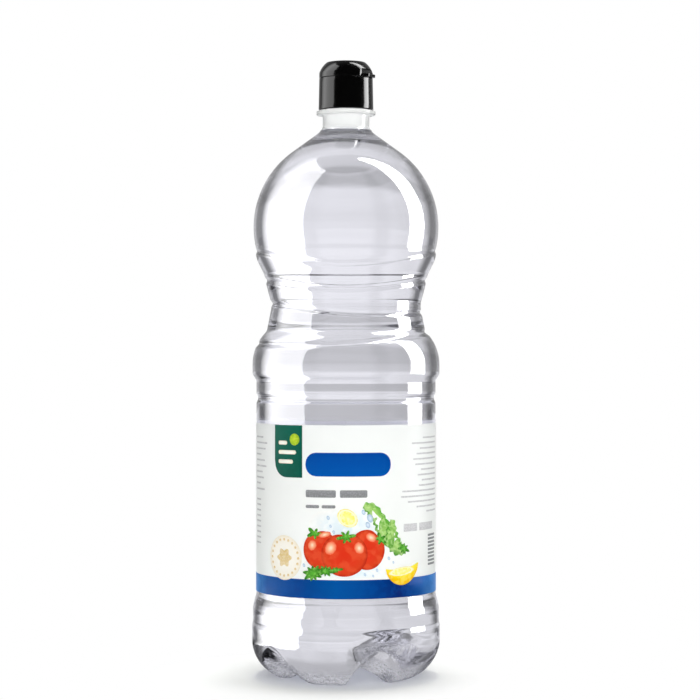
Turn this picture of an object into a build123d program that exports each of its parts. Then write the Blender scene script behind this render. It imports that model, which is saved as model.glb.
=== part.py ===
from build123d import *
from math import cos, radians, sin, sqrt
import os

# A clear blow-moulded PET bottle of white vinegar with a black flip-top cap.
# The body is a ball-shaped shoulder over a ribbed waist, a straight label panel
# and a base of five hollow feet. Millimetres, +Z up, the floor at Z = 0 and the
# bottle's axis on Z. The front of the label faces -Y.

# ---------------------------------------------------------------- dimensions
wall = 0.6

# base with five feet
foot_count = 5
first_valley_azimuth = 20.0  # from -Y towards +X
sole_inner_radius = 31.0
sole_outer_radius = 36.0
heel_radius = 52.7
heel_height = 23.0
heel_waypoint_radius = 48.6
heel_waypoint_height = 8.4
push_up_height = 7.0
push_up_flat_radius = 5.0
valley_radii = (10.0, 30.0, 46.0, 60.0)  # stations of a valley between two feet
valley_half_widths = (3.5, 10.5, 14.0, 16.5)
valley_heights = (6.5, 9.0, 16.5, 24.5)

# side wall, from the heel up
heel_band_top = 26.5
lower_band_radius = 52.2
lower_band_bottom = 31.0
lower_step = 40.0
upper_band_radius = 51.6
panel_radius = 50.3
panel_bottom = 46.3
panel_top = 154.0
groove_radius = 49.4
groove_bottom = 155.0
groove_top = 157.5
collar_bottom = 158.5
collar_top = 166.0
hoop_radius = 52.5
hoop_bottom = 169.5
hoop_arc_centre = 175.0
hoop_arc_radius = 25.75
hoop_crease = 193.6
waist_radius = 42.0
waist_bottom = 206.5
waist_top = 209.5
bulb_radius = 51.9
bulb_centre = 252.0
bulb_bottom = 240.0
flare_stations = ((219.0, 44.6), (225.5, 45.9), (233.5, 49.9), (238.5, 51.1))  # height, radius

# neck with its support ring and finish
neck_slope = 1.38  # rise of height over fall of radius, upside down: dr/dz of the shoulder cone
neck_radius = 13.1
neck_fillet = 3.0
ring_radius = 16.6
ring_bottom = 315.0
ring_top = 317.2
finish_radius = 13.5
finish_top = 332.0
bore_radius = 10.87
bore_floor = 313.5

# creases pressed into the waist in a slow wave: mean height, rise to the right, depth of the wave
creases = ((234.1, 0.0, 4.35), (219.4, 0.0, 2.85), (205.0, -2.5, 1.7), (188.3, 3.2, 1.4))
crease_tool_radius = 1.6
crease_depth = 0.8
crease_start = 75  # where the two halves of a crease meet, from -Y towards +X

fill_level = 306.0

# label
label_thickness = 0.2
label_bottom = 48.5
label_height = 94.0
overlap_width = 9.0

# cap
cap_bottom = 317.8
cap_bottom_radius = 15.4
cap_seam = 335.7
cap_seam_radius = 15.05
cap_bore_radius = 13.6
seam_groove = 0.3
lid_top = 344.6
lid_shoulder = 338.6
lid_shoulder_bulge = (13.45, 341.9)  # radius, height halfway round the lid's top edge
lid_top_radius = 10.9
tab_azimuth = 62.0  # from -Y towards +X
tab_width = 11.0
tab_radius = 16.6
tab_height = 1.6
notch_reach = 13.1
notch_height = 4.6

# ---------------------------------------------------------------- worked-out places
shoulder_radius = bulb_radius / sqrt(1 + neck_slope**2)
shoulder_height = bulb_centre + neck_slope * shoulder_radius
neck_bottom = shoulder_height + (shoulder_radius - neck_radius) / neck_slope
hoop_arc_axis = hoop_radius - hoop_arc_radius


def arc_radius(height, centre_radius, centre_height, radius):
    """Outer radius of an arc of the side wall at a height."""
    return centre_radius + sqrt(radius**2 - (height - centre_height) ** 2)


hoop_crease_radius = arc_radius(hoop_crease, hoop_arc_axis, hoop_arc_centre, hoop_arc_radius)
bulb_bottom_radius = arc_radius(bulb_bottom, 0, bulb_centre, bulb_radius)


flare = ((waist_top, waist_radius), *flare_stations, (bulb_bottom, bulb_bottom_radius))


def radius_between(stations, height):
    """Radius at a height on straight lines between stations."""
    for (low, low_radius), (high, high_radius) in zip(stations, stations[1:]):
        if height <= high:
            return low_radius + (height - low) / (high - low) * (high_radius - low_radius)
    return stations[-1][1]


def waist_wall_radius(height):
    """Outer radius of the wall between the hoop and the ball."""
    if height >= bulb_bottom:
        return arc_radius(height, 0, bulb_centre, bulb_radius)
    if height >= waist_top:
        return radius_between(flare, height)
    if height >= waist_bottom:
        return waist_radius
    if height >= hoop_crease:
        share = (height - hoop_crease) / (waist_bottom - hoop_crease)
        return hoop_crease_radius + share * (waist_radius - hoop_crease_radius)
    return arc_radius(height, hoop_arc_axis, hoop_arc_centre, hoop_arc_radius)


def around(azimuth):
    """A point one unit from the axis at an azimuth counted from -Y towards +X."""
    return Vector(sin(radians(azimuth)), -cos(radians(azimuth)), 0)


# ---------------------------------------------------------------- body outline
with BuildSketch(Plane.XZ) as body_section:
    with BuildLine():
        push_up_flat = Line((0, push_up_height), (push_up_flat_radius, push_up_height))
        push_up = TangentArc(push_up_flat @ 1, (sole_inner_radius, 0), tangent=(1, 0))
        sole = Line(push_up @ 1, (sole_outer_radius, 0))
        heel = ThreePointArc(sole @ 1, (heel_waypoint_radius, heel_waypoint_height), (heel_radius, heel_height))
        side = Polyline(
            heel @ 1,
            (heel_radius, heel_band_top),
            (lower_band_radius, lower_band_bottom),
            (lower_band_radius, lower_step),
            (upper_band_radius, lower_step + 1),
            (upper_band_radius, panel_bottom - 1.2),
            (panel_radius, panel_bottom),
            (panel_radius, panel_top),
            (groove_radius, groove_bottom),
            (groove_radius, groove_top),
            (panel_radius, collar_bottom),
            (panel_radius, collar_top),
            (hoop_radius, hoop_bottom),
            (hoop_radius, hoop_arc_centre),
        )
        hoop = ThreePointArc(
            side @ 1,
            (waist_wall_radius(0.5 * (hoop_arc_centre + hoop_crease)), 0.5 * (hoop_arc_centre + hoop_crease)),
            (hoop_crease_radius, hoop_crease),
        )
        waist = Polyline(
            hoop @ 1,
            (waist_radius, waist_bottom),
            *((radius, height) for height, radius in flare),
        )
        bulb = ThreePointArc(waist @ 1, (bulb_radius, bulb_centre), (shoulder_radius, shoulder_height))
        neck = FilletPolyline(
            bulb @ 1,
            (neck_radius, neck_bottom),
            (neck_radius, ring_bottom),
            radius=neck_fillet,
        )
        top = Line(neck @ 1, (0, ring_bottom))
        mirror(about=Plane.YZ)
    make_face()


with BuildSketch(Plane.XZ) as cavity_section:
    add(body_section.sketch)
    offset(amount=-wall, mode=Mode.REPLACE)
    split(bisect_by=Plane.YZ)

with BuildSketch(Plane.XZ) as outer_section:
    add(body_section.sketch)
    split(bisect_by=Plane.YZ)


# ---------------------------------------------------------------- tools that shape the body
def valley_cutter(azimuth, extra):
    """Arch-shaped hollow between two feet, grown by a wall thickness for the inside."""
    with BuildPart() as cutter:
        for station, half, height in zip(valley_radii, valley_half_widths, valley_heights):
            place = Plane(
                origin=station * around(azimuth),
                x_dir=around(azimuth + 90),
                z_dir=around(azimuth),
            )
            with BuildSketch(place):
                with BuildLine():
                    Polyline(
                        (half + extra, 0),
                        (half + extra, -2),
                        (-half - extra, -2),
                        (-half - extra, 0),
                    )
                    EllipticalCenterArc((0, 0), half + extra, height + extra, start_angle=0, arc_size=180)
                make_face()
        loft()
    return cutter.part


def crease_cutter(mean, rise, wave, extra, half):
    """Half of a round cord laid round the waist in a wave, sunk into the wall."""
    points = []
    for turn in range(crease_start, crease_start + 360, 30):
        height = mean + rise * sin(radians(turn)) - wave * cos(radians(2 * turn))
        reach = waist_wall_radius(height) + crease_tool_radius - crease_depth
        points.append(reach * around(turn) + Vector(0, 0, height))
    path = Edge.make_spline(points, periodic=True).trim(0.5 * half, 0.5 * half + 0.5)
    with BuildPart() as cutter:
        with BuildLine():
            add(path)
        with BuildSketch(Plane(origin=path @ 0, z_dir=path % 0)):
            Circle(crease_tool_radius + extra)
        sweep()
    return cutter.part


def shaped_body(section, extra):
    """Turned body with the feet and the creases pressed into it."""
    with BuildPart() as body:
        add(section)
        revolve(axis=Axis.Z)
        for foot in range(foot_count):
            add(valley_cutter(first_valley_azimuth + foot * 360 / foot_count, extra), mode=Mode.SUBTRACT)
        for mean, rise, wave in creases:
            for half in (0, 1):
                add(crease_cutter(mean, rise, wave, extra, half), mode=Mode.SUBTRACT)
    return body.part


body_outside = shaped_body(outer_section.sketch, 0)
body_inside = shaped_body(cavity_section.sketch, wall)

# ---------------------------------------------------------------- what the bottle holds
with BuildPart() as cavity:
    add(body_inside)
    with BuildSketch(Plane.XY.offset(bore_floor)):
        Circle(ring_radius)
    extrude(amount=ring_top - bore_floor, mode=Mode.SUBTRACT)

with BuildPart() as vinegar:
    add(cavity.part)
    with BuildSketch(Plane.XY.offset(fill_level)):
        Circle(ring_radius)
    extrude(amount=ring_top - fill_level, mode=Mode.SUBTRACT)

# ---------------------------------------------------------------- bottle
with BuildPart() as bottle:
    add(body_outside)
    with BuildSketch(Plane.XY.offset(ring_bottom)):
        Circle(ring_radius)
    extrude(amount=ring_top - ring_bottom)
    with BuildSketch(Plane.XY.offset(ring_top)):
        Circle(finish_radius)
    extrude(amount=finish_top - ring_top)
    add(cavity.part, mode=Mode.SUBTRACT)
    with BuildSketch(Plane.XY.offset(bore_floor)):
        Circle(bore_radius)
    extrude(amount=finish_top - bore_floor, mode=Mode.SUBTRACT)

# ---------------------------------------------------------------- label wrapped round the panel
with BuildPart() as label:
    with BuildSketch(Plane.XY.offset(label_bottom)):
        Circle(panel_radius + label_thickness)
        Circle(panel_radius, mode=Mode.SUBTRACT)
    extrude(amount=label_height)
    with BuildSketch(Plane.XY.offset(label_bottom)):
        Circle(panel_radius + 2 * label_thickness)
        Circle(panel_radius + 0.5 * label_thickness, mode=Mode.SUBTRACT)
        with Locations((0, panel_radius)):
            Rectangle(overlap_width, 8, mode=Mode.INTERSECT)
    extrude(amount=label_height)

# ---------------------------------------------------------------- flip-top cap, shut
with BuildPart() as cap_body:
    with BuildSketch(Plane.XZ):
        with BuildLine():
            Polyline(
                (0, finish_top),
                (cap_bore_radius, finish_top),
                (cap_bore_radius, cap_bottom),
                (cap_bottom_radius - 0.4, cap_bottom),
                (cap_bottom_radius, cap_bottom + 0.4),
                (cap_seam_radius, cap_seam - seam_groove),
                (cap_seam_radius - seam_groove, cap_seam),
                (0, cap_seam),
                close=True,
            )
        make_face()
    revolve(axis=Axis.Z)

tab_side = Plane(
    origin=Vector(0, 0, cap_seam),
    x_dir=around(tab_azimuth),
    z_dir=(0, 0, 1),
)

with BuildPart() as cap_lid:
    with BuildSketch(Plane.XZ):
        with BuildLine():
            lid_outline = Polyline(
                (0, cap_seam),
                (cap_seam_radius - seam_groove, cap_seam),
                (cap_seam_radius, cap_seam + seam_groove),
                (cap_seam_radius, lid_shoulder),
            )
            lid_edge = ThreePointArc(lid_outline @ 1, lid_shoulder_bulge, (lid_top_radius, lid_top))
            Polyline(lid_edge @ 1, (0, lid_top), (0, cap_seam))
        make_face()
    revolve(axis=Axis.Z)
    with BuildSketch(tab_side):
        with Locations((notch_reach, 0)):
            Rectangle(10, 24, align=(Align.MIN, Align.CENTER))
    extrude(amount=notch_height, mode=Mode.SUBTRACT)
    with BuildSketch(tab_side) as tab_sketch:
        with Locations((0.5 * tab_radius, 0)):
            Rectangle(0.5 * tab_radius, tab_width, align=(Align.MIN, Align.CENTER))
        fillet(tab_sketch.vertices().group_by(Axis.X)[-1], 2.5)
    extrude(amount=tab_height)

# ---------------------------------------------------------------- hand over
os.makedirs("parts", exist_ok=True)
bottle.part.label = "bottle"
export_step(bottle.part, "parts/bottle.step")
vinegar.part.label = "vinegar"
export_step(vinegar.part, "parts/vinegar.step")
label.part.label = "label"
export_step(label.part, "parts/label.step")
cap_body.part.label = "cap_body"
export_step(cap_body.part, "parts/cap_body.step")
cap_lid.part.label = "cap_lid"
export_step(cap_lid.part, "parts/cap_lid.step")

for name, piece in (
    ("bottle", bottle.part),
    ("vinegar", vinegar.part),
    ("label", label.part),
    ("cap_body", cap_body.part),
    ("cap_lid", cap_lid.part),
):
    low, high = piece.bounding_box().min, piece.bounding_box().max
    print(f"{name}: {len(piece.solids())} solid, valid {piece.is_valid}, {piece.volume / 1000:.1f} cm3,"
          f" x {low.X:.1f}..{high.X:.1f} y {low.Y:.1f}..{high.Y:.1f} z {low.Z:.1f}..{high.Z:.1f}")
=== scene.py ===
# %% [markdown]
# # A clear bottle of white vinegar
# The object is a tall blow-moulded bottle of clear PET, full of colourless vinegar, with a printed film label
# round its straight part and a black flip-top cap. Nearly all that the eye sees is light that it bends or
# mirrors, so three things matter: a true wall shape, clear materials with the right IOR, and lamps placed
# where the real ones show as bands in the wall.

import math

import bpy
import numpy as np
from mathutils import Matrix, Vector


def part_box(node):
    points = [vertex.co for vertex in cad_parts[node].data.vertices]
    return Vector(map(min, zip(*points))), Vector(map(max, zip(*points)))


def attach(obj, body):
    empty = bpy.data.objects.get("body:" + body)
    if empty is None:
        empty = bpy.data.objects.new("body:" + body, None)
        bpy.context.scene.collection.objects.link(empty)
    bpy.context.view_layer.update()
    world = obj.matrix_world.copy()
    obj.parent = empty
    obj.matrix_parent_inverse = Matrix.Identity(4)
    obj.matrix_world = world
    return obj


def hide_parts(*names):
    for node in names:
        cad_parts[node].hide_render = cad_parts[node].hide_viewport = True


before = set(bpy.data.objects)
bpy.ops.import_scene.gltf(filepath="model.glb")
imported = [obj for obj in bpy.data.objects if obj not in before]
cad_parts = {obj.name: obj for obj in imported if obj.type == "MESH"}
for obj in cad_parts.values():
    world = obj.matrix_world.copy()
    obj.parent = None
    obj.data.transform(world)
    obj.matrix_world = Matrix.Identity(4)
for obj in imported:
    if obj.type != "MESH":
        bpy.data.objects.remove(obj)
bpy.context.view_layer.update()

# %% Work in millimetres, build in metres
MM = 0.001  # one millimetre in Blender's metres
scene = bpy.context.scene

finish_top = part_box("bottle")[1].z / MM
label_bottom, label_top = (corner.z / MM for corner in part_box("label"))
fill_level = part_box("vinegar")[1].z / MM
for what, height in (("neck", finish_top), ("label", label_top), ("vinegar", fill_level)):
    print("top of the", what, "at", round(height, 1), "mm")

# %% [markdown]
# ## Camera
# A bottle this tall is shot from well back with a long lens, level with its middle, so that its sides stay
# parallel and the rings round it show as shallow curves: below the lens they bow down, above it they bow up.
# The distance sets how strong those bows are. A wide lens close up would make them too round.

# %% Place the camera
def in_scene(name, data):
    """A new object for a camera, a lamp or a mesh, linked to the scene."""
    thing = bpy.data.objects.new(name, data)
    scene.collection.objects.link(thing)
    return thing


camera_aside, camera_distance, camera_height = 2.25, 1226, 183.1
camera_data = bpy.data.cameras.new("studio_camera")
camera_data.lens = 112.1
camera_data.sensor_width = 36.0
camera = in_scene("studio_camera", camera_data)
camera.location = (camera_aside * MM, -camera_distance * MM, camera_height * MM)
camera.rotation_euler = (math.radians(90), 0, 0)
bpy.context.scene.camera = camera
print("camera is", camera_distance, "mm in front of the bottle's axis")


# %% [markdown]
# ## Helpers for colours, shader nodes and pieces
# Screen colours are written as sRGB hex values, but a shader wants linear light, so one function turns one
# into the other. A second function adds one shader node with its settings and links, which keeps every
# material short. Two more make a mesh and fix it to the bottle's body as a piece.

# %% Hex colour to linear light
def linear(hex_code):
    """An sRGB hex value such as "0A55A6" as a linear colour."""
    channels = [int(hex_code[i:i + 2], 16) / 255 for i in (0, 2, 4)]
    light = [c / 12.92 if c <= 0.04045 else ((c + 0.055) / 1.055) ** 2.4 for c in channels]
    return (*light, 1.0)


print("mid grey in linear light:", round(linear("808080")[0], 3))


# %% Add one shader node, and start a material
def add_node(tree, kind, settings=None, links=None):
    """One node, with its sockets or properties set and its inputs linked.

    kind is the node's type in Blender without "ShaderNode" in front. A link starts at another node's output,
    or at a node, which stands for its first output. A colour ramp takes stops: positions with hex colours.
    """
    node = tree.nodes.new("ShaderNode" + kind)
    for key, value in (settings or {}).items():
        if key == "stops":
            elements = node.color_ramp.elements
            elements.remove(elements[1])
            elements[0].position, elements[0].color = value[0][0], linear(value[0][1])
            for position, colour in value[1:]:
                elements.new(position).color = linear(colour)
        elif isinstance(key, int) or key in node.inputs:
            node.inputs[key].default_value = value
        else:
            setattr(node, key, value)
    for key, source in (links or {}).items():
        tree.links.new(getattr(source, "outputs", [source])[0], node.inputs[key])
    return node


def new_material(name):
    """An empty material and its node tree."""
    material = bpy.data.materials.new(name)
    material.use_nodes = True
    material.node_tree.nodes.clear()
    return material, material.node_tree


# %% Make a piece from points and faces
def make_mesh(name, points, faces, material):
    """A mesh object with one material. points are in metres."""
    mesh = bpy.data.meshes.new(name)
    mesh.from_pydata([tuple(p) for p in points], [], faces)
    mesh.materials.append(material)
    return in_scene(name, mesh)


def make_piece(name, points, faces, material):
    """A smooth mesh piece that rides on the bottle. points are in millimetres."""
    piece = make_mesh(name, np.asarray(points) * MM, faces, material)
    piece.data.shade_smooth()
    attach(piece, "root")
    print(f"{name}: {len(piece.data.vertices)} points, {len(piece.data.polygons)} faces")
    return piece


def set_uv(mesh, uv_of_point):
    """Gives every corner of every face the UV place of its point."""
    layer = mesh.uv_layers.new(name="UVMap")
    for loop in mesh.loops:
        layer.data[loop.index].uv = uv_of_point[loop.vertex_index]


def grid_faces(rows, columns, closed=True):
    """Quads of a grid of points stored row by row. A closed grid joins its last column to its first."""
    quads = []
    for low in range(0, (rows - 1) * columns, columns):
        for column in range(columns if closed else columns - 1):
            after, high = (column + 1) % columns, low + columns
            quads.append((low + column, low + after, high + after, high + column))
    return quads


print("a grid of 3 by 4 points has", len(grid_faces(3, 4)), "faces when it is closed")


# %% [markdown]
# ## The bottle's outline
# A blown bottle takes its shape from a steel mould: a ball-shaped shoulder, a waist with pressed creases, a
# rounded hoop, a straight panel for the label, and a heel that runs into five hollow feet. The outline could
# be drawn as a curve and spun, but the creases wave up and down as they go round and the feet come five to
# the turn. So the wall is worked out as a radius for every height and direction, from the CAD model's sizes.

# %% Sizes of the mould, in millimetres
wall = 0.6
heel_radius, heel_height = 52.7, 23.0
sole_inner, sole_outer = 31.0, 36.0
push_up_height, push_up_flat = 7.0, 5.0
panel_radius, groove_radius = 50.3, 49.4
hoop_radius, hoop_centre, hoop_arc, hoop_crease = 52.5, 175.0, 25.75, 193.6
waist_radius, waist_bottom, waist_top = 42.0, 206.5, 209.5
flare = ((219.0, 44.6), (225.5, 45.9), (233.5, 49.9), (238.5, 51.1))
bulb_radius, bulb_centre, bulb_bottom = 51.9, 252.0, 240.0
neck_radius, neck_slope = 13.1, 1.38
ring_radius, ring_bottom, ring_top = 16.6, 315.0, 317.2
finish_radius, bore_radius = 13.5, 10.87

shoulder_radius = bulb_radius / math.hypot(1, neck_slope)
shoulder_height = bulb_centre + neck_slope * shoulder_radius
neck_bottom = shoulder_height + (shoulder_radius - neck_radius) / neck_slope
print("shoulder's cone starts at", round(shoulder_height, 1), "and meets the neck at", round(neck_bottom, 1))


# %% Radius of the plain wall at each height
def plain_radius(z):
    """Radius of the wall above the heel, before its corners are rounded."""
    hoop_end = hoop_radius - hoop_arc + math.sqrt(hoop_arc**2 - (hoop_crease - hoop_centre) ** 2)
    bulb_end = math.sqrt(bulb_radius**2 - (bulb_bottom - bulb_centre) ** 2)
    straight = (
        (heel_height, heel_radius), (29.6, heel_radius), (31, 52.25), (33, 52.2), (38.5, 52.2),
        (41.5, 51.8), (45, 50.8), (47.5, panel_radius), (154, panel_radius), (155, groove_radius),
        (157.5, groove_radius), (158.5, panel_radius), (166, panel_radius), (169.5, hoop_radius),
        (hoop_centre, hoop_radius), (hoop_crease, hoop_end),
        (waist_bottom, waist_radius), (waist_top, waist_radius), *flare, (bulb_bottom, bulb_end),
        (shoulder_height, shoulder_radius), (neck_bottom, neck_radius), (ring_bottom, neck_radius),
    )
    radius = np.interp(z, [p[0] for p in straight], [p[1] for p in straight])
    hoop = hoop_radius - hoop_arc + np.sqrt(np.maximum(hoop_arc**2 - (z - hoop_centre) ** 2, 0))
    bulb = np.sqrt(np.maximum(bulb_radius**2 - (z - bulb_centre) ** 2, 0))
    radius = np.where((z > hoop_centre) & (z < hoop_crease), hoop, radius)
    return np.where((z > bulb_bottom) & (z < shoulder_height), bulb, radius)


def moulded_radius(z):
    """The plain wall with its corners rounded, as blown plastic never fills a sharp corner."""
    reach = 0.8 + 1.6 * np.exp(-(((z - neck_bottom) / 4) ** 2))
    shifts = np.linspace(-1, 1, 9)
    return sum(plain_radius(z + shift * reach) for shift in shifts) / len(shifts)


for part, z in (("waist", waist_bottom + 1.5), ("bulb", bulb_centre)):
    print(part, "radius", round(float(moulded_radius(np.array(z))), 2), "mm")

# %% The creases that wave round the waist
# mean height, rise to the right, height of the wave, half width, depth
creases = (
    (234.1, 0.0, 4.35, 2.2, 0.9),
    (219.4, 0.0, 2.85, 2.2, 0.9),
    (205.0, -2.5, 1.7, 2.2, 0.9),
    (188.3, 3.2, 1.4, 2.2, 0.9),
)


def crease_depth(z, turn):
    """How far the creases press the wall in."""
    depth = np.zeros(np.broadcast(z, turn).shape)
    for mean, rise, wave, half_width, deepest in creases:
        centre = mean + rise * np.sin(turn) - wave * np.cos(2 * turn)
        across = np.clip(np.abs(z - centre) / half_width, 0, 1)
        depth = depth + deepest * (0.5 + 0.5 * np.cos(np.pi * across))
    return depth


print("deepest crease at the front:", round(float(crease_depth(np.array(229.75), np.array(0.0))), 2), "mm")

# %% [markdown]
# ## The five feet
# Fizzy-drink and vinegar bottles stand on hollow feet with arched valleys between them. Seen from below, each
# valley is a tunnel that widens and climbs from the middle out to the heel. It could be cut with five boolean
# solids, but that leaves hard rims, and blown plastic has soft ones. Here the underside is a height for each
# point: the higher of the foot's sole and the valley's arch, joined by a soft maximum.

# %% Underside of the foot and the arch of a valley
foot_count, first_valley = 5, math.radians(20)
valley_radii = (0, 10, 30, 46, 60)
valley_half_widths = (1.0, 4.0, 11.0, 14.5, 17.0)
valley_heights = (6.0, 6.5, 9.0, 16.5, 24.5)
heel_waypoint = (48.6, 8.4)


def circle_through(a, b, c):
    """Centre and radius of the circle through three points."""
    (ax, ay), (bx, by), (cx, cy) = a, b, c
    matrix = np.array([[bx - ax, by - ay], [cx - ax, cy - ay]]) * 2
    squares = np.array([bx**2 + by**2 - ax**2 - ay**2, cx**2 + cy**2 - ax**2 - ay**2])
    centre = np.linalg.solve(matrix, squares)
    return centre, math.hypot(ax - centre[0], ay - centre[1])


def sole_outline(steps):
    """Points from the middle of the push-up out over the sole and up the heel."""
    dome_arc = ((sole_inner - push_up_flat) ** 2 + push_up_height**2) / (2 * push_up_height)
    dome_r = np.linspace(0.5, sole_inner, steps)
    dome_z = push_up_height - dome_arc + np.sqrt(dome_arc**2 - np.maximum(dome_r - push_up_flat, 0) ** 2)
    sole_r = np.linspace(sole_inner, sole_outer, 4)[1:]
    (heel_r, heel_z), arc = circle_through((sole_outer, 0), heel_waypoint, (heel_radius, heel_height))
    start = math.atan2(0 - heel_z, sole_outer - heel_r)
    end = math.atan2(heel_height - heel_z, heel_radius - heel_r)
    sweep = np.linspace(start, end, steps + 4)[1:-1]
    radius = np.concatenate([dome_r, sole_r, heel_r + arc * np.cos(sweep)])
    height = np.concatenate([dome_z, 0 * sole_r, heel_z + arc * np.sin(sweep)])
    return radius, np.maximum(height, 0)


def arch_height(radius, turn):
    """Height of the nearest valley's arch over a point of the underside."""
    pitch = 2 * math.pi / foot_count
    away = (turn - first_valley + pitch / 2) % pitch - pitch / 2
    half = np.interp(radius, valley_radii, valley_half_widths)
    height = np.interp(radius, valley_radii, valley_heights)
    across = np.abs(radius * np.sin(away)) / half
    inside = 1 - across**2
    return height * np.sign(inside) * np.minimum(np.abs(inside), 1) ** 0.7


def soft_maximum(a, b, softness):
    return 0.5 * (a + b + np.sqrt((a - b) ** 2 + softness**2))


print("arch at the heel:", round(float(arch_height(np.array(52.0), np.array(first_valley))), 1), "mm high")

# %% [markdown]
# ## The shell
# The real wall is a film of plastic 0.3 to 0.5 mm thick with two surfaces, and both of them mirror and bend
# light, so the piece is a closed shell and not one sheet. The outside is a grid of points. The inside is the
# same grid moved in along its own normals, which keeps the wall even round creases and feet. At the neck the
# wall thickens to a straight bore, because the neck is moulded first and never blown.

# %% Grid of the outside wall
columns = 180
turns = np.arange(columns) * 2 * math.pi / columns


def all_round(column):
    """A grid whose rows each repeat one value of the column all the way round."""
    return np.asarray(column)[:, None] + 0 * turns[None, :]


def spaced(start, stop, step):
    """Heights from start up to stop, not counting stop, about step apart."""
    return np.linspace(start, stop, max(2, round((stop - start) / step) + 1))[:-1]


wall_heights = np.concatenate([
    spaced(heel_height, 48, 0.9), spaced(48, 150, 4), spaced(150, 170, 0.7), spaced(170, 184, 1.4),
    spaced(184, 242, 0.75), spaced(242, 296, 1.6), spaced(296, 312, 0.6), [312, 314.6],
])
arch_softness, arch_limit = 1.3, 21.5
sole_r, sole_z = sole_outline(22)
under_r = all_round(sole_r)
under_z = soft_maximum(sole_z[:, None], arch_height(under_r, turns[None, :]), arch_softness)
under_z = np.minimum(under_z, all_round(np.maximum(sole_z, arch_limit)))
wall_z = all_round(wall_heights)
wall_r = moulded_radius(wall_z) - crease_depth(wall_z, turns[None, :])
grid_r = np.vstack([under_r, wall_r])
grid_z = np.vstack([under_z, wall_z])
print("outside grid:", grid_r.shape[0], "rows of", columns)


# %% Points of a grid, and the same grid moved inwards
def to_points(radius, height):
    """Grid points with the front of the label towards -Y."""
    around = np.broadcast_to(turns[None, :], radius.shape)
    return np.stack([radius * np.sin(around), -radius * np.cos(around), height], axis=-1)


def inward(points, depth):
    """The grid moved in along its normals."""
    along = np.gradient(points, axis=0)
    across = np.roll(points, -1, axis=1) - np.roll(points, 1, axis=1)
    normal = np.cross(across, along)
    normal /= np.linalg.norm(normal, axis=-1, keepdims=True)
    return points - normal * depth


outside = to_points(grid_r, grid_z)
blown_inside = inward(outside, wall)
print("the wall is", round(float(np.linalg.norm(outside[60, 0] - blown_inside[60, 0])), 2), "mm thick")

# %% Neck: support ring, finish and bore
neck_outline = (
    (neck_radius, ring_bottom - 0.3), (neck_radius + 0.3, ring_bottom), (ring_radius - 0.4, ring_bottom),
    (ring_radius - 0.1, ring_bottom + 0.15), (ring_radius, ring_bottom + 0.5), (ring_radius, ring_top - 0.5),
    (ring_radius - 0.1, ring_top - 0.15), (ring_radius - 0.4, ring_top), (finish_radius + 0.3, ring_top),
    (finish_radius, ring_top + 0.3), (finish_radius, finish_top - 0.4), (finish_radius - 0.4, finish_top),
    (bore_radius + 0.4, finish_top), (bore_radius, finish_top - 0.4), (bore_radius, 322), (bore_radius, 316),
)
neck_points = to_points(all_round([p[0] for p in neck_outline]), all_round([p[1] for p in neck_outline]))
blown_top = 313.9  # above this height the inside is the straight bore
inside = blown_inside[grid_z[:, 0] < blown_top][::-1]
print("inside grid:", len(inside), "rows")


# %% Close the shell at the middle of the foot
def closed_shell(rows):
    """Points and faces of a skin that starts and ends in a point on the axis."""
    count = len(rows)
    points = rows.reshape(-1, 3)
    start = [0, 0, rows[0][:, 2].mean()]
    end = [0, 0, rows[-1][:, 2].mean()]
    faces = grid_faces(count, columns)
    first, last = count * columns, count * columns + 1
    tail = (count - 1) * columns
    faces += [(first, (i + 1) % columns, i) for i in range(columns)]
    faces += [(last, tail + i, tail + (i + 1) % columns) for i in range(columns)]
    return np.vstack([points, start, end]), faces


shell_points, shell_faces = closed_shell(np.concatenate([outside, neck_points, inside]))
print("shell:", len(shell_faces), "faces")

# %% [markdown]
# ## Clear PET
# The plastic is PET, blown in a polished mould. PET bends light more than glass-like acrylic does: its IOR is
# about 1.575. The polished steel leaves it nearly mirror smooth, but the blowing leaves slow waves some 14 mm
# long, which make the bands of reflected light waver. The soles of the feet are grained by the mould and
# scuffed by shelves, so they are a little hazy. Real mould grain is about 0.2 mm, too fine to show, so it is
# drawn ten times as coarse. The neck isn't blown, so it stays thick. It is mostly painted a plain white, a
# painted stand-in for the bright white ground that shows through the clear neck. Lamps are let through by a
# transparent shader for shadow rays, as Cycles doesn't trace their light through clear solids, and the
# label's back and the floor would be too dark.

# %% PET material
def let_lamps_through(tree, surface, tint):
    """Shows the surface to the eye, and a clear film of that tint to rays from lamps."""
    path = add_node(tree, "LightPath")
    clear = add_node(tree, "BsdfTransparent", {"Color": tint})
    mix = add_node(tree, "MixShader", links={0: path.outputs["Is Shadow Ray"], 1: surface, 2: clear})
    add_node(tree, "OutputMaterial", links={"Surface": mix})


pet_ior = 1.575
wave_length, grain_size = 14, 2.2  # mm
sole_edge, sole_full = 47, 42  # mm out from the axis: where the grain begins, and where it is full
valley_edge, valley_full = 19, 14  # mm up, the same for the valleys' walls
tip_edge, tip_full = 12, 8  # mm up, the same for the tips of the feet
neck_clear, neck_fully_painted = 306, 308  # mm up: where the neck starts to whiten, and where it is white

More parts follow.
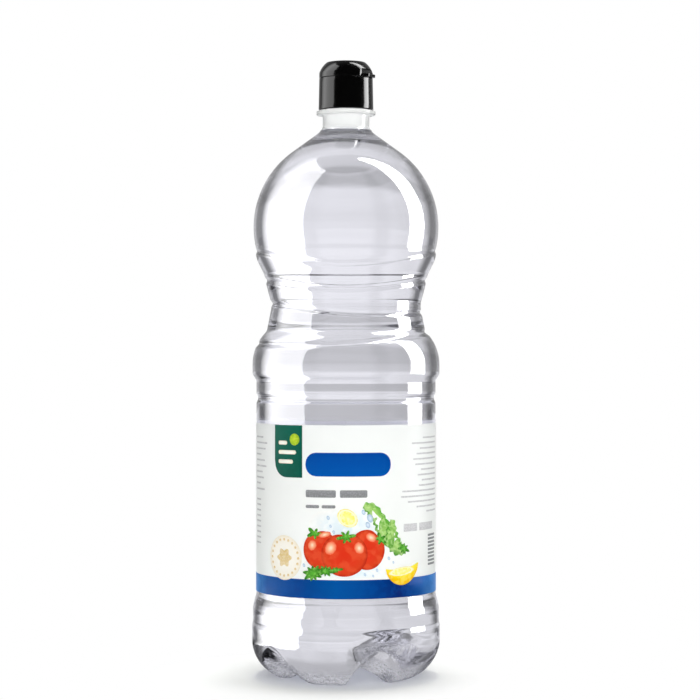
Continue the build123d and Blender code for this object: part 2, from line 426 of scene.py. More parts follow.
pet, tree = new_material("clear_pet_blow_moulded")
place = add_node(tree, "TexCoord").outputs["Object"]
waves = add_node(
    tree, "TexNoise", {"Scale": 1 / (wave_length * MM), "Detail": 1.0, "Roughness": 0.4}, {"Vector": place},
)
wave_bump = add_node(tree, "Bump", {"Strength": 0.25, "Distance": 0.45 * MM}, {"Height": waves})
up = add_node(tree, "SeparateXYZ", links={0: place}).outputs["Z"]
flat = add_node(tree, "VectorMath", {"operation": "MULTIPLY", 1: (1, 1, 0)}, {0: place})
out = add_node(tree, "VectorMath", {"operation": "LENGTH"}, {0: flat}).outputs["Value"]
within, low, tips = (
    add_node(tree, "MapRange", {"From Min": edge * MM, "From Max": full * MM}, {"Value": source})
    for edge, full, source in (
        (sole_edge, sole_full, out), (valley_edge, valley_full, up), (tip_edge, tip_full, up),
    )
)
valleys = add_node(tree, "Math", {"operation": "MULTIPLY"}, {0: within, 1: low})
on_sole = add_node(tree, "Math", {"operation": "MAXIMUM"}, {0: valleys, 1: tips})
grain = add_node(tree, "TexNoise", {"Scale": 1 / (grain_size * MM), "Detail": 2.0}, {"Vector": place})
sole_bump = add_node(
    tree, "Bump", {"Distance": 0.5 * MM}, {"Strength": on_sole, "Height": grain, "Normal": wave_bump},
)
scuffed = add_node(tree, "Math", {"operation": "MULTIPLY"}, {0: on_sole, 1: grain})
haze = add_node(tree, "MapRange", {"To Min": 0.02, "To Max": 0.45}, {"Value": scuffed})
shell = add_node(
    tree, "BsdfPrincipled",
    {"Base Color": linear("FDFDFE"), "IOR": pet_ior, "Transmission Weight": 1.0},
    {"Roughness": haze, "Normal": sole_bump},
)
# A painted white over the neck, a painted stand-in for the bright ground that shows through the clear neck.
painted_white_share = add_node(
    tree, "MapRange", {"From Min": neck_clear * MM, "From Max": neck_fully_painted * MM, "To Max": 0.8},
    {"Value": up},
)
painted_bright_ground = add_node(tree, "BsdfDiffuse", {"Color": linear("F6F7F6")}, {"Normal": wave_bump})
finish = add_node(tree, "MixShader", links={0: painted_white_share, 1: shell, 2: painted_bright_ground})
let_lamps_through(tree, finish, linear("E2E2E6"))
print("PET mirrors", round(((pet_ior - 1) / (pet_ior + 1)) ** 2 * 100, 1), "% of light that meets it head on")

# %% The bottle piece
bottle = make_piece("bottle_shell", shell_points, shell_faces, pet)
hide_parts("bottle")

# %% [markdown]
# ## The vinegar
# White vinegar is clear and colourless, with an IOR of about 1.34, close to water's. It touches the plastic
# all over, so there is no layer of air between them. If the liquid's skin lay exactly on the wall's inner
# skin, or just short of it, a bright false mirror would show. So its skin is placed a little way inside the
# wall.

# %% Vinegar up to the fill level
reach_into_wall = 0.15
liquid_rows = inward(outside, wall - reach_into_wall)[grid_z[:, 0] < fill_level - 0.2]
top_radius = float(np.hypot(liquid_rows[-1][0, 0], liquid_rows[-1][0, 1]))
# the surface climbs the wall a little: share of the way out, and rise in mm
surface_steps = ((1.0, 0.35), (0.98, 0.12), (0.93, 0.0), (0.6, 0.0), (0.2, 0.0))
surface_rows = [
    to_points(np.full((1, columns), top_radius * share), np.full((1, columns), fill_level - 0.1 + lift))[0]
    for share, lift in surface_steps
]
liquid_points, liquid_faces = closed_shell(np.concatenate([liquid_rows, surface_rows]))
print("the liquid's surface is", round(2 * top_radius, 1), "mm across")

# %% Vinegar material
vinegar, tree = new_material("white_vinegar_clear")
place = add_node(tree, "TexCoord").outputs["Object"]
cloud = add_node(tree, "TexNoise", {"Scale": 1 / (60 * MM), "Detail": 0.0}, {"Vector": place})
tint = add_node(
    tree, "Mix", {"data_type": "RGBA", "A": linear("FDFDFE"), "B": linear("FBFBFD")}, {"Factor": cloud},
)
liquid = add_node(
    tree, "BsdfPrincipled",
    {"Roughness": 0.0, "IOR": 1.34, "Transmission Weight": 1.0},
    {"Base Color": tint.outputs[2]},
)
let_lamps_through(tree, liquid, linear("EEF0F5"))
vinegar_piece = make_piece("vinegar_fill", liquid_points, liquid_faces, vinegar)
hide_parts("vinegar")

# %% [markdown]
# ## The label
# The label is a strip of white printed film, wrapped once round the panel and glued to itself at the back.
# The overlap is what makes it a wrap and not a tube, so the strip is built as it is in the factory: it starts
# at the back, goes round, and climbs over its own start. The film is polypropylene, stretched and filled with
# fine bubbles. They make it an even, cool white with a satin face that mirrors next to nothing. Some light
# comes through it; this is painted as a faint glow on its inner side, which shows above the label as a pale
# line.

# %% Wrap the film
film = 0.14
film_radius = panel_radius + 0.04
label_radius = film_radius + film
overlap = math.radians(10)


def wrapped_strip(bottom, top, out, thickness):
    """Points and faces of a strip that runs a little over one turn and climbs over its own start."""
    along = np.linspace(0, 2 * math.pi + overlap, 260)
    ramp = 0.03  # radians over which the film climbs
    climb = np.clip((along - (2 * math.pi - ramp)) / ramp, 0, 1)
    base = film_radius + out + (film + 0.02) * climb * climb * (3 - 2 * climb)
    heading = math.pi + along
    edge = min(0.25, thickness)
    section = (
        (0, bottom + edge), (0, top - edge), (thickness * 0.5, top), (thickness, top - edge),
        (thickness, (top + bottom) / 2), (thickness, bottom + edge), (thickness * 0.5, bottom),
    )
    points = []
    for depth, height in section:
        radius = base + depth
        points.append(
            np.stack([radius * np.sin(heading), -radius * np.cos(heading), 0 * along + height], axis=1)
        )
    rows = np.stack(points, axis=1)
    count, ring = rows.shape[:2]
    faces = [tuple(reversed(f)) for f in grid_faces(count, ring)]
    faces.append(tuple(range(ring)))
    faces.append(tuple(reversed(range((count - 1) * ring, count * ring))))
    return rows.reshape(-1, 3), faces


label_points, label_faces = wrapped_strip(label_bottom, label_top, 0, film)
print("film is", round(film_radius * (2 * math.pi + overlap)), "mm long")

# %% White film material
film_white, tree = new_material("white_polypropylene_film")
place = add_node(tree, "TexCoord").outputs["Object"]
mottle = add_node(tree, "TexNoise", {"Scale": 1 / (25 * MM), "Detail": 2.0}, {"Vector": place})
paper_tone = add_node(
    tree, "Mix", {"data_type": "RGBA", "A": linear("F3F5F4"), "B": linear("F7F9F8")}, {"Factor": mottle},
)
ripple = add_node(tree, "Bump", {"Strength": 0.15, "Distance": 0.1 * MM}, {"Height": mottle})
surface = add_node(
    tree, "BsdfPrincipled", {"Roughness": 0.38, "IOR": 1.49, "Specular IOR Level": 0.03},
    {"Base Color": paper_tone.outputs[2], "Normal": ripple},
)
add_node(tree, "OutputMaterial", links={"Surface": surface})
label = make_piece("label_film", label_points, label_faces, film_white)
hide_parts("label")

# The inner side's glow is painted: a weak emission stands in for light that comes through the film.
film_back, tree = new_material("white_film_painted_glow_from_behind")
place = add_node(tree, "TexCoord").outputs["Object"]
fibre = add_node(tree, "TexNoise", {"Scale": 1 / (8 * MM), "Detail": 2.0}, {"Vector": place})
painted_glow_strength = add_node(tree, "MapRange", {"To Min": 0.2, "To Max": 0.26}, {"Value": fibre})
back = add_node(
    tree, "BsdfPrincipled",
    {"Base Color": linear("F4F4F4"), "Roughness": 0.5, "IOR": 1.49, "Emission Color": linear("F2F2F8")},
    {"Emission Strength": painted_glow_strength},
)
add_node(tree, "OutputMaterial", links={"Surface": back})
label.data.materials.append(film_back)
around_section = 7  # faces round the strip's section; the first of them is its inside
inner_faces = range(0, len(label_faces) - 2, around_section)
for index in inner_faces:
    label.data.polygons[index].material_index = 1
print(len(inner_faces), "faces on the inside of the film")

# %% [markdown]
# ## The print
# A label like this is printed by rollers, one ink after another, so each colour lies a hair above the one
# before it. An image wrapped round the film would be the quick way. Here each ink is a thin solid patch of
# its own, bent to the film, so that the edges stay crisp at any distance. The picture is tomatoes, lettuce
# and lemon in a splash. A plain tag, a plain blue panel, grey bars and even stripes stand where a label
# carries its words. Each ink has a clear varnish over it, which makes it satin. Rollers lay ink as dots some
# 0.15 mm apart, too fine to show here, so they are drawn as blotches of a millimetre or more in a second
# shade of the ink.

# %% Bend a flat drawing round the label
ink_step, ink_thickness = 0.06, 0.04


def on_label(across, height, layer, sunk=0.0):
    """Points for a drawing in millimetres round from the front and up from the floor."""
    radius = label_radius + layer * ink_step - sunk
    angle = np.asarray(across) / label_radius
    return np.stack([radius * np.sin(angle), -radius * np.cos(angle), np.asarray(height)], axis=-1)


def ink_piece(name, patches, ink):
    """One closed piece from patches, each of which is (across, height, faces, uv, layer)."""
    points, faces, uvs, first = [], [], [], 0
    for across, height, quads, uv, layer in patches:
        count = len(across)
        points += [on_label(across, height, layer), on_label(across, height, layer, ink_thickness)]
        uvs += [uv, uv]
        edges = {pair for quad in quads for pair in zip(quad, quad[1:] + quad[:1])}
        rim = [(a, b) for a, b in edges if (b, a) not in edges]
        faces += [tuple(first + i for i in quad) for quad in quads]
        faces += [tuple(first + count + i for i in reversed(quad)) for quad in quads]
        faces += [(first + b, first + a, first + count + a, first + count + b) for a, b in sorted(rim)]
        first += 2 * count
    piece = make_piece(name, np.concatenate(points), faces, ink)
    set_uv(piece.data, np.concatenate(uvs))
    piece.data.set_sharp_from_angle(angle=math.radians(40))
    return piece


print("inks start", ink_step, "mm above the film and are", ink_thickness, "mm thick")


# %% Shapes to draw with
def field(across, low, high, layer):
    """A patch between a lower and an upper edge, given at the same places across."""
    count = len(across)
    u = np.concatenate([across, across])
    v = np.concatenate([low, high])
    faces = [(i, i + 1, count + i + 1, count + i) for i in range(count - 1)]
    share = (u - across[0]) / (across[-1] - across[0]) * 2 - 1
    uv = np.stack([share, np.repeat([-1.0, 1.0], count)], axis=1)
    return u, v, faces, uv, layer


def bar(left, right, low, high, layer, corner=0.5):
    """A rounded bar."""
    corner = min(corner, 0.48 * (high - low), 0.48 * (right - left))
    bend = np.linspace(0, math.pi / 2, 6)
    end_across, end_inset = corner * (1 - np.cos(bend)), corner * (1 - np.sin(bend))
    middle = np.linspace(left + corner, right - corner, max(2, round((right - left) / 2)))[1:-1]
    across = np.concatenate([left + end_across, middle, (right - end_across)[::-1]])
    inset = np.concatenate([end_inset, 0 * middle, end_inset[::-1]])
    return field(across, low + inset, high - inset, layer)


def blob(across, height, reach, layer, rings=5, segments=44):
    """A patch round a centre. reach gives its radius for each angle."""
    angle = np.arange(segments) * 2 * math.pi / segments
    edge = reach(angle)
    share = np.linspace(0, 1, rings + 1)[1:, None]
    u = np.concatenate([[across], (across + share * edge * np.cos(angle)).ravel()])
    v = np.concatenate([[height], (height + share * edge * np.sin(angle)).ravel()])
    faces = [(0, 1 + i, 1 + (i + 1) % segments) for i in range(segments)]
    for ring in range(rings - 1):
        inner, outer = 1 + ring * segments, 1 + (ring + 1) * segments
        faces += [
            (inner + i, outer + i, outer + (i + 1) % segments, inner + (i + 1) % segments)
            for i in range(segments)
        ]
    rim = np.stack([(share * np.cos(angle)).ravel(), (share * np.sin(angle)).ravel()], axis=1)
    return u, v, faces, np.concatenate([[[0.0, 0.0]], rim]), layer


def oval(wide, tall, turn=0.0, points=0, depth=0.0):
    """The reach of an oval. points and depth give it a jagged rim."""
    def reach(angle):
        local = angle - math.radians(turn)
        smooth = wide * tall / np.hypot(tall * np.cos(local), wide * np.sin(local))
        return smooth * (1 + depth * np.cos(points * local))

    return reach


def ribbon(path, widths, layer, ruffles, depth):
    """A long patch along a path, with wavy edges."""
    steps = 60
    share = np.linspace(0, 1, steps)
    knots = np.linspace(0, 1, len(path))
    soft = np.linspace(-0.06, 0.06, 7)
    u, v, width = (
        sum(np.interp(np.clip(share + s, 0, 1), knots, column) for s in soft) / len(soft)
        for column in ([p[0] for p in path], [p[1] for p in path], widths)
    )
    du, dv = np.gradient(u), np.gradient(v)
    size = np.hypot(du, dv)
    normal_u, normal_v = -dv / size, du / size
    left = width * (1 + depth * np.sin(ruffles * 2 * math.pi * share))
    right = width * (1 + depth * np.cos(ruffles * 2 * math.pi * share * 1.13 + 1))
    across = np.concatenate([u - normal_u * right, u + normal_u * left])
    height = np.concatenate([v - normal_v * right, v + normal_v * left])
    faces = [(i, i + 1, steps + i + 1, steps + i) for i in range(steps - 1)]
    uv = np.stack([np.tile(share * 2 - 1, 2), np.repeat([-1.0, 1.0], steps)], axis=1)
    return across, height, faces, uv, layer


print("a tomato of 12 mm reach has", len(blob(0, 0, oval(12, 12), 1)[2]), "faces")


# %% Printing inks
def printed_ink(name, stops, direction, second, blotch_mm, blotch_share):
    """Ink under varnish. Its colour runs out from the middle, up or round, with blotches of a second."""
    ink, tree = new_material(name + "_gravure_ink")
    spot = add_node(tree, "TexCoord")
    if direction == "out":
        value = add_node(
            tree, "VectorMath", {"operation": "LENGTH"}, {0: spot.outputs["UV"]},
        ).outputs["Value"]
    else:
        # round colours by left and right as seen from the front; the band uses it for painted sheen and shade
        source, limit = ("Object", label_radius * MM) if direction == "round" else ("UV", 1.0)
        axes = add_node(tree, "SeparateXYZ", links={0: spot.outputs[source]})
        axis = axes.outputs["Y" if direction == "up" else "X"]
        value = add_node(tree, "MapRange", {"From Min": -limit, "From Max": limit}, {"Value": axis})
    ramp = add_node(tree, "ValToRGB", {"stops": stops}, {"Fac": value})
    blotches = add_node(
        tree, "TexNoise", {"Scale": 1 / (blotch_mm * MM), "Detail": 2.0}, {"Vector": spot.outputs["Object"]},
    )
    share = add_node(
        tree, "MapRange", {"From Min": 0.46, "From Max": 0.6, "To Max": blotch_share}, {"Value": blotches},
    )
    colour = add_node(tree, "Mix", {"data_type": "RGBA", "B": linear(second)}, {"Factor": share, "A": ramp})
    varnish = add_node(
        tree, "BsdfPrincipled", {"Roughness": 0.34, "IOR": 1.49, "Specular IOR Level": 0.03},
        {"Base Color": colour.outputs[2]},
    )
    add_node(tree, "OutputMaterial", links={"Surface": varnish})
    return ink


# The band's blue is print, painted lighter towards both sides as a painted sheen where the film turns away,
# and darker right of the middle as painted shade.
band_blue_painted_sheen = printed_ink(
    "blue",
    [
        (0, "4890D8"), (0.07, "004E98"), (0.25, "003F8A"), (0.45, "00529E"), (0.62, "00428E"),
        (0.79, "00246E"), (0.9, "004892"), (1, "4488D0"),
    ],
    "round", "004C9E", 4, 0.3,
)
panel_blue = printed_ink("royal_blue", [(0, "0054AA"), (1, "00469C")], "up", "0050A6", 3, 0.3)
tag_green = printed_ink("dark_green", [(0, "004C3E"), (1, "005646")], "up", "005C4C", 3, 0.3)
lime = printed_ink("lime", [(0, "BCD431"), (1, "8DB81C")], "out", "D6E24A", 1.2, 0.4)
grey = printed_ink("grey", [(0, "808184"), (1, "8E8F92")], "up", "A9AAAD", 0.8, 0.4)
pale_grey = printed_ink("pale_grey", [(0, "C2C2C5"), (1, "CCCCCE")], "up", "E0E0E2", 0.9, 0.7)
tomato_red = printed_ink(
    "tomato_red", [(0, "DA3218"), (0.5, "DC391E"), (0.85, "D6401F"), (1, "B82816")], "out", "E65C36", 5, 0.45,
)
shine = printed_ink("highlight", [(0, "FFE9D2"), (0.45, "FBB48C"), (1, "E8492A")], "out", "F9A47C", 2, 0.3)
leaf_green = printed_ink(
    "leaf_green", [(0, "3F8F26"), (0.5, "A4D070"), (1, "5AA834")], "up", "C8E49A", 2.2, 0.6,
)
dark_leaf = printed_ink("dark_leaf", [(0, "5DB53A"), (1, "2B6B1C")], "out", "86CC5A", 1.5, 0.6)
lemon_rind = printed_ink(
    "lemon_rind", [(0, "F0B400"), (0.5, "FBD90A"), (1, "FFEB4A")], "up", "FFF07A", 3, 0.4,
)
lemon_flesh = printed_ink(
    "lemon_flesh", [(0, "FFF6A0"), (0.7, "FFEF6A"), (0.82, "FFFCE0"), (1, "F8DC1A")], "out", "FFFBD0", 1.6,
    0.6,
)
splash_blue = printed_ink(
    "pale_blue", [(0, "DCEBF3"), (0.6, "E9F2F6"), (1, "F6F6F4")], "out", "FAFCFC", 4, 0.5,
)
drop_blue = printed_ink("water_drop", [(0, "E8F2FA"), (1, "9DB9D6")], "out", "C4D8EA", 0.8, 0.4)
seal_cream = printed_ink("cream", [(0, "FFFEFA"), (0.8, "F8F2E6"), (1, "F0E6D0")], "out", "FBF6EC", 1.5, 0.4)
seal_gold = printed_ink("gold", [(0, "E9D3A2"), (1, "DDBF7E")], "up", "F3E4C2", 1.2, 0.5)
print(sum(material.name.endswith("_ink") for material in bpy.data.materials), "inks")

# %% Band, tag, panel and seal
band_bottom, band_top = label_bottom + 0.1, 58.9
strip_points, strip_faces = wrapped_strip(band_bottom, band_top, film + 0.02, ink_thickness)
make_piece("print_band", strip_points, strip_faces, band_blue_painted_sheen)

tag_left, tag_right, tag_low, tag_round = -44.2, -24.6, 113.8, 9.0
tag_across = np.linspace(tag_left, tag_right, 30)
into = np.clip((tag_across - tag_left) / tag_round, 0, 1)
tag_rise = tag_round * (1 - np.sqrt(1 - (1 - into) ** 2))
ink_piece(
    "print_tag", [field(tag_across, tag_low + 1.02 * tag_rise, 0 * tag_across + label_top - 0.3, 2)],
    tag_green,
)
ink_piece("print_tag_dot", [blob(-29.5, 134.5, oval(3.2, 3.2), 3)], lime)
ink_piece(
    "print_tag_lines",
    [
        bar(-41.0, right, low, low + 2.2, 3, 1.1)
        for right, low in ((-34.5, 131.5), (-28.5, 126.4), (-30.5, 121.3))
    ],
    seal_cream,
)
ink_piece("print_panel", [bar(-22.6, 25.4, 114.8, 127.6, 2, 6.3)], panel_blue)
seal_u, seal_z = -36.7, 70.0
ink_piece("print_seal", [blob(seal_u, seal_z, oval(11.8, 12.2), 2)], seal_cream)
ring_turns = np.arange(20) * 2 * math.pi / 20
dot = oval(0.75, 0.75)
ink_piece(
    "print_seal_dots",
    [blob(seal_u + 9.6 * math.cos(t), seal_z + 9.9 * math.sin(t), dot, 3, 2, 10) for t in ring_turns]
    + [blob(seal_u, seal_z, oval(4.6, 4.6, 0, 6, 0.18), 3)],
    seal_gold,
)

# %% Bars and stripes where words would be
dark_bars = [(left, right, 103.4, 107.4) for left, right in ((-22.4, -5.4), (-3.2, 11.7))]
dark_bars += [(left, right, 97.6, 99.3) for left, right in ((-22.4, -14.6), (-13.2, -5.6))]
ink_piece("print_bars", [bar(*edges, 2, 0.7) for edges in dark_bars], grey)
starts = (50, 40, 47, 44, 41, 43, 48, 45, 49, 46, 33, 32, 37, 44, 54)
pale_bars = [(start, 69.5, 134.6 - 2.9 * i, 135.5 - 2.9 * i) for i, start in enumerate(starts)]
pale_bars += [(34.0, 44.5, 84.2, 88.4), (46.5, 62.5, 84.2, 88.4)]
ends = (-57, -52, -54, -60, -55, -53, -58, -56, -61, -55)
pale_bars += [(-69.5, end, 134.6 - 3.2 * i, 135.5 - 3.2 * i) for i, end in enumerate(ends)]
pale_bars += [(-69.0, -60.5, 100.0 - 3.0 * i, 100.9 - 3.0 * i) for i in range(9)]
ink_piece("print_fine_bars", [bar(*edges, 1, 0.3) for edges in pale_bars], pale_grey)
ink_piece("print_stripes", [bar(56.0, 67.0, 64.4 + 2.0 * i, 65.6 + 2.0 * i, 1, 0.1) for i in range(9)], grey)

# %% Splash, leaves and lemon
ink_piece(
    "print_splash", [blob(1.0, 84.5, oval(23, 14.5, 0, 7, 0.06), 1), blob(3.0, 63.8, oval(25, 4.6), 1)],
    splash_blue,
)
drops = (
    (-9.6, 92.5, 0.8), (-8.3, 88.0, 0.6), (-6.5, 84.8, 0.7), (9.6, 95.5, 1.0), (12.0, 88.6, 1.2),
    (24.2, 70.2, 0.7), (27.0, 67.9, 0.5), (17.2, 64.0, 0.6), (-23.5, 66.5, 0.7), (10.4, 61.8, 0.6),
    (15.0, 61.0, 0.5), (13.2, 92.2, 1.6),
)
ink_piece("print_drops", [blob(u, z, oval(r, 1.5 * r, 20), 2, 3, 14) for u, z, r in drops], drop_blue)
left_leaf = ((9.5, 99.5), (14.5, 97.0), (19.0, 90.5), (21.5, 83.5), (22.8, 77.0))
right_leaf = ((26.5, 91.5), (25.8, 85.0), (26.4, 79.0), (30.5, 75.0), (36.0, 74.0))
ink_piece(
    "print_lettuce",
    [
        ribbon(left_leaf, (1.6, 3.6, 3.8, 4.2, 2.2), 2, 7, 0.12),
        blob(23.0, 84.0, oval(4.2, 8.5, 18), 1),
        ribbon(right_leaf, (1.2, 3.4, 4.6, 4.0, 1.8), 2, 7, 0.14),
    ],
    leaf_green,
)
ink_piece("print_lemon_small", [blob(0.9, 92.4, oval(5.9, 4.5, -35), 2)], lemon_flesh)
wedge_left, wedge_right = 22.4, 45.4
wedge_across = np.linspace(wedge_left, wedge_right, 36)
wedge_share = (wedge_across - wedge_left) / (wedge_right - wedge_left)
wedge_top = 64.4 + 2.6 * wedge_share**2 - 1.0 * np.sin(math.pi * wedge_share)
wedge_low = wedge_top - 8.6 * np.sqrt(np.maximum(1 - (2 * wedge_share - 1) ** 2, 0.002)) - 0.1
ink_piece("print_lemon_rind", [field(wedge_across, wedge_low, wedge_top, 2)], lemon_rind)
ink_piece("print_lemon_face", [blob(32.8, 62.7, oval(9.0, 2.3, 5), 3)], lemon_flesh)


# %% Tomatoes
def tomato(across, height, wide, tall, layer, turn=90.0):
    """A round tomato with a dip where its stalk grows."""
    smooth = oval(wide, tall)

    def reach(angle):
        away = np.abs((angle - math.radians(turn) + math.pi) % (2 * math.pi) - math.pi)
        return smooth(angle) * (1 - 0.1 * np.exp(-((away / 0.35) ** 2)))

    return blob(across, height, reach, layer, 8, 60)


ink_piece(
    "print_tomatoes_back",
    [tomato(-13.9, 75.2, 9.8, 10.4, 3, 110), tomato(11.6, 75.2, 10.0, 10.9, 3, 50)],
    tomato_red,
)
ink_piece("print_tomato_front", [tomato(-0.8, 72.7, 12.6, 11.9, 4)], tomato_red)
gleams = (
    (-8.2, 76.2, oval(3.0, 3.8, -25), 5), (7.2, 76.2, oval(2.6, 3.3, 20), 5),
    (-18.5, 77.5, oval(2.4, 2.9, -20), 4), (13.8, 81.8, oval(3.2, 2.2, -30), 4),
    (-11.5, 83.4, oval(3.6, 1.5, 15), 4),
)
ink_piece("print_highlights", [blob(*gleam, 5, 26) for gleam in gleams], shine)
# each stalk or leaf: place, reach with its jagged points, layer, and segments round
stalks = (
    (0.2, 82.2, oval(3.9, 2.5, 10, 6, 0.42), 5, 48), (-17.2, 83.9, oval(4.6, 2.1, -10, 5, 0.45), 4, 48),
    (19.2, 80.8, oval(3.2, 2.2, -40, 5, 0.4), 4, 48), (-18.0, 62.4, oval(5.4, 3.4, 15, 9, 0.24), 5, 54),
    (-11.0, 63.8, oval(4.6, 2.3, -5, 8, 0.28), 5, 54), (-5.6, 64.4, oval(3.4, 1.3, 8, 6, 0.3), 5, 40),
    (33.8, 75.2, oval(3.6, 2.2, -25, 7, 0.3), 3, 44),
)
ink_piece(
    "print_stalks", [blob(u, z, reach, layer, 4, segments) for u, z, reach, layer, segments in stalks],
    dark_leaf,
)

# %% [markdown]
# ## Black cap
# The cap is injection-moulded polypropylene, polished in the mould: black, glossy, a little softer in its
# shine than glass, with faint flow marks about 3 mm long. Its CAD solids already have the right form, so they
# stay, and only their sharp edges are rounded by a modifier, because a moulded edge always catches a thin
# line of light.

# %% Cap material and rounded edges
cap_plastic, tree = new_material("black_moulded_polypropylene")
place = add_node(tree, "TexCoord").outputs["Object"]
flow = add_node(tree, "TexNoise", {"Scale": 1 / (3 * MM), "Detail": 2.0}, {"Vector": place})
polish = add_node(tree, "MapRange", {"To Min": 0.11, "To Max": 0.16}, {"Value": flow})
skin = add_node(tree, "Bump", {"Strength": 0.1, "Distance": 0.05 * MM}, {"Height": flow})
surface = add_node(
    tree, "BsdfPrincipled", {"Base Color": linear("030303"), "IOR": 1.49, "Specular IOR Level": 0.19},
    {"Roughness": polish, "Normal": skin},
)
add_node(tree, "OutputMaterial", links={"Surface": surface})

edge_width, weld_gap = 0.25, 0.01  # mm
for node in ("cap_body", "cap_lid"):
    cap_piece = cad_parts[node]
    cap_piece.data.materials.clear()
    cap_piece.data.materials.append(cap_plastic)
    weld = cap_piece.modifiers.new("weld", "WELD")
    weld.merge_threshold = weld_gap * MM
    bevel = cap_piece.modifiers.new("moulded_edge", "BEVEL")
    bevel.width = edge_width * MM
    bevel.segments = 3
    bevel.limit_method = "ANGLE"
    bevel.angle_limit = math.radians(35)
    bevel.harden_normals = True
    cap_piece.data.shade_smooth()
    print(node, "material", cap_piece.data.materials[0].name)

# %% [markdown]
# ## Floor, lamps and surroundings
# Clear things have hardly any look of their own: they show what is round them, bent and turned over. So the
# studio is one that is set up for bottles. A large soft box on the left and a narrow one on the right are
# mirrored in the wall as a wide and a thin white band. A cloth, painted as a glow in greys and whites, fills
# the middle, and painted dark zones at the corners, a painted shade in place of black flags, draw the dark
# edges. Printed and opaque things get plain soft light from the front, from above and from behind. The floor
# is matt paper near the bottle, where it keeps the soft shadow, and fades to plain white further off. Seen
# through clear things, the floor is a painted glow, with a painted shadow close to the bottle. The front and
# back lamps stand a little to the right, so the shadow falls a little to the left, and the fade is centred
# there.

# %% How bright the studio looks in each direction
# The black flags are painted: the glowing floor and cloth are darker at the four corners.
flag_edge, flag_full = math.radians(30), math.radians(40)  # turned away from the nearest axis
flag_level = 0.22  # share of the light that a flag leaves


def by_heading(tree, coordinates, level):
    """Paints a level darker at the studio's four corners, a painted shade in place of black flags, and
    lighter on the right, a painted light.
    """
    axes = add_node(tree, "SeparateXYZ", links={0: coordinates})
    heading = add_node(tree, "Math", {"operation": "ARCTAN2"}, {0: axes.outputs["X"], 1: axes.outputs["Y"]})
    off_axis = add_node(tree, "Math", {"operation": "PINGPONG", 1: math.radians(45)}, {0: heading})
    painted_flag_shade = add_node(
        tree, "MapRange",
        {"From Min": flag_edge, "From Max": flag_full, "To Min": 1.0, "To Max": flag_level},
        {"Value": off_axis},
    )
    side = add_node(tree, "Math", {"operation": "SINE"}, {0: heading})
    painted_right_light = add_node(
        tree, "MapRange", {"From Min": -0.5, "From Max": 0.5, "To Min": 0.92, "To Max": 1.14},
        {"Value": side},
    )
    dimmed = add_node(tree, "Math", {"operation": "MULTIPLY"}, {0: level, 1: painted_flag_shade})
    return add_node(tree, "Math", {"operation": "MULTIPLY"}, {0: dimmed, 1: painted_right_light})


print("the flags are", round(90 - 2 * math.degrees(flag_edge)), "degrees wide at each corner")

# %% White floor
shadow_middle, fade_start, fade_end = (-0.012, 0, 0), 0.055, 0.1  # metres
floor_paper, tree = new_material("white_paper_sweep")
place = add_node(tree, "TexCoord").outputs["Object"]
distance = add_node(tree, "VectorMath", {"operation": "LENGTH"}, {0: place}).outputs["Value"]
from_shadow = add_node(tree, "VectorMath", {"operation": "DISTANCE", 1: shadow_middle}, {0: place})
fade = add_node(
    tree, "MapRange", {"From Min": fade_start, "From Max": fade_end}, {"Value": from_shadow.outputs["Value"]},
)
path = add_node(tree, "LightPath")
seen = add_node(tree, "Math", {"operation": "MULTIPLY"}, {0: path.outputs["Is Camera Ray"], 1: fade})
matt = add_node(tree, "BsdfDiffuse", {"Color": linear("F7F8F4")})
# Clear things see the floor as a painted glow: dark close to the bottle, a painted shadow, and brighter
# further off, painted floor light.
floor_glow_painted_shadow = add_node(  # what clear things see of the floor, by distance from the axis in metres
    tree, "ValToRGB",
    {"stops": (
        (0.11, "303030"), (0.135, "484848"), (0.17, "E8E8E8"), (0.32, "E2E2E2"), (0.42, "DCDCDC"),
        (0.5, "FAFAFA"),
    )},
    {"Fac": distance},
)
painted_floor_glow = add_node(tree, "Emission", {"Color": linear("FAFAFF")}, {"Strength": by_heading(tree, place, floor_glow_painted_shadow)})
bounce = add_node(tree, "MixShader", links={0: path.outputs["Is Diffuse Ray"], 1: painted_floor_glow, 2: matt})
near = add_node(tree, "MixShader", links={0: path.outputs["Is Camera Ray"], 1: bounce, 2: matt})
white = add_node(tree, "Emission", {"Strength": 1.0})
mix = add_node(tree, "MixShader", links={0: seen, 1: near, 2: white})
add_node(tree, "OutputMaterial", links={"Surface": mix})
floor = make_mesh("floor", [(-4, -3, 0), (4, -3, 0), (4, 5, 0), (-4, 5, 0)], [(0, 1, 2, 3)], floor_paper)
print("floor is", [round(side, 1) for side in floor.dimensions[:2]], "m")


# %% Curved cards round the bottle
def stage_card(name, start, stop, rows, material):
    """A card that curves round the axis. Headings are from the front, positive right; rows are (out, up)."""
    steps = 48
    headings = np.radians(np.linspace(start, stop, steps))
    points = [(out * math.sin(h), -out * math.cos(h), z) for out, z in rows for h in headings]
    card = make_mesh(name, points, grid_faces(len(rows), steps, closed=False), material)
    last_row = len(rows) - 1
    set_uv(
        card.data,
        [(column / (steps - 1), row / last_row) for row in range(len(rows)) for column in range(steps)],
    )
    card.visible_camera = card.visible_diffuse = card.visible_shadow = False
    print(name, "spans", stop - start, "degrees")
    return card


# %% A cloth all round, painted as a glow in greys and whites, seen only through clear things
cloth, tree = new_material("studio_cloth_painted_glow")
place = add_node(tree, "TexCoord").outputs["Object"]
up = add_node(tree, "SeparateXYZ", links={0: place}).outputs["Z"]
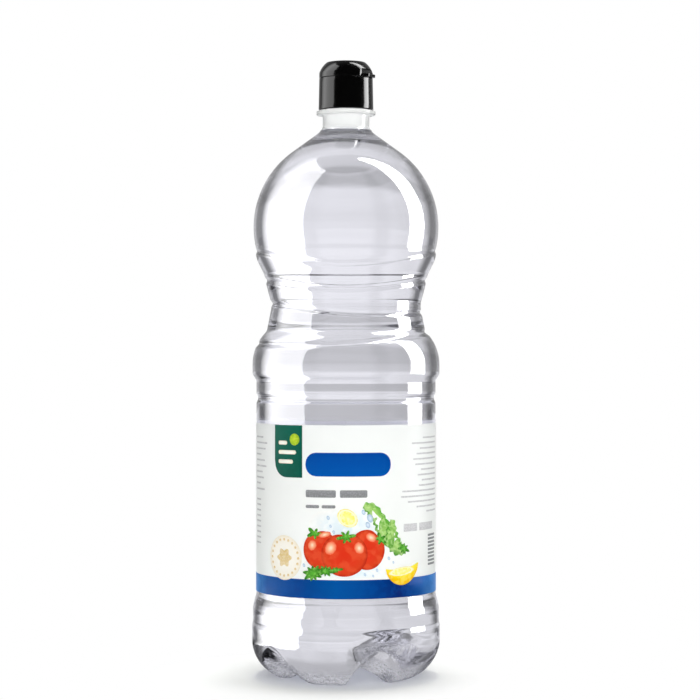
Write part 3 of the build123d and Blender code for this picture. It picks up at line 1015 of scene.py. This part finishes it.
# painted glow by height: darker in a band low down and brighter above, standing in for the lit studio seen
# through clear things
level = add_node(  # by height in metres
    tree, "ValToRGB",
    {"stops": (
        (0.0, "ECECEC"), (0.075, "E6E6E6"), (0.095, "C6C6C6"), (0.16, "C9C9C9"), (0.182, "F0F0F0"),
        (0.25, "ECECEC"), (0.35, "F4F4F4"),
    )},
    {"Fac": up},
)
glow = add_node(tree, "Emission", {"Color": linear("FAFAFF")}, {"Strength": by_heading(tree, place, level)})
add_node(tree, "OutputMaterial", links={"Surface": glow})
surround = stage_card("studio_cloth", 0, 360, ((0.6, 0.0), (0.6, 1.6)), cloth)
surround.visible_glossy = False


# %% Soft boxes that show as bands in clear and glossy things
def soft_box(name, start, stop, rows, brightness, first_fade, last_fade):
    """A card lit from within that fades out over a share of its width at each end."""
    lit_cloth, tree = new_material(name + "_cloth")
    place = add_node(tree, "TexCoord").outputs["UV"]
    along = add_node(tree, "SeparateXYZ", links={0: place}).outputs["X"]
    rise, fall = (
        add_node(tree, "MapRange", {"From Min": dark, "From Max": lit}, {"Value": along})
        for dark, lit in ((0.0, first_fade), (1.0, 1 - last_fade))
    )
    both = add_node(tree, "Math", {"operation": "MULTIPLY"}, {0: rise, 1: fall})
    level = add_node(tree, "Math", {"operation": "MULTIPLY", 1: brightness}, {0: both})
    glow = add_node(tree, "Emission", links={"Strength": level})
    add_node(tree, "OutputMaterial", links={"Surface": glow})
    card = stage_card(name, start, stop, rows, lit_cloth)
    card.visible_transmission = False


soft_box("soft_box_left", -128, -52, ((0.13, 0.002), (0.9, 0.004), (0.9, 1.1), (0.5, 1.35)), 7.5, 0.35, 0.01)
soft_box("strip_right", 83, 112, ((0.9, 0.004), (0.9, 1.1), (0.5, 1.35), (0.2, 1.45)), 24.0, 0.1, 0.1)

# %% Lamps for the label and the floor
def area_lamp(name, stand, aim, width, height, power):
    """A soft lamp that lights matt things and stays out of reflections."""
    lamp_data = bpy.data.lights.new(name, "AREA")
    lamp_data.shape = "RECTANGLE"
    lamp_data.size, lamp_data.size_y = width, height
    lamp_data.energy = power
    lamp = in_scene(name, lamp_data)
    lamp.location = stand
    lamp.rotation_euler = (Vector(aim) - Vector(stand)).to_track_quat("-Z", "Y").to_euler()
    lamp.visible_glossy = lamp.visible_transmission = False
    print(name, "gives", power, "W from", stand)


area_lamp("front_lamp", (0.2, -1.4, 0.6), (0, 0, 0.12), 1.2, 0.9, 12.5)
area_lamp("top_lamp", (0, 0.1, 1.6), (0, 0, 0), 0.45, 0.45, 17)
area_lamp("back_lamp", (0.2, 1.5, 0.8), (0, 0, 0.12), 1.2, 0.9, 6)

# %% World: white behind, plain light for matt things, a dark room for mirrored rays from the front
world = bpy.data.worlds.new("studio")
scene.world = world
world.use_nodes = True
tree = world.node_tree
tree.nodes.clear()
direction = add_node(tree, "TexCoord").outputs["Generated"]
towards_back = add_node(tree, "SeparateXYZ", links={0: direction}).outputs["Y"]
room = add_node(
    tree, "MapRange", {"From Min": -0.35, "From Max": 0.35, "To Min": 0.0, "To Max": 0.6},
    {"Value": towards_back},
)
path = add_node(tree, "LightPath")
mirrored = add_node(tree, "Background", links={"Strength": room})
mix, plain, white = (
    add_node(tree, "Background", {"Color": (1, 1, 1, 1), "Strength": strength})
    for strength in (0.8, 0.21, 1.0)
)
for kind, shader in (("Is Glossy Ray", mirrored), ("Is Diffuse Ray", plain), ("Is Camera Ray", white)):
    mix = add_node(tree, "MixShader", links={0: path.outputs[kind], 1: mix, 2: shader})
add_node(tree, "OutputWorld", links={"Surface": mix})
scene.view_settings.view_transform = "Standard"
print("world has", len(tree.nodes), "nodes")

# %% Let light cross many walls
# A line of sight through a foot crosses six skins or more and may turn inside them, so it needs more turns.
light_paths = scene.cycles
light_paths.max_bounces = light_paths.transmission_bounces = 28
light_paths.glossy_bounces = 16
light_paths.transparent_max_bounces = 24
print("light may turn", light_paths.max_bounces, "times")
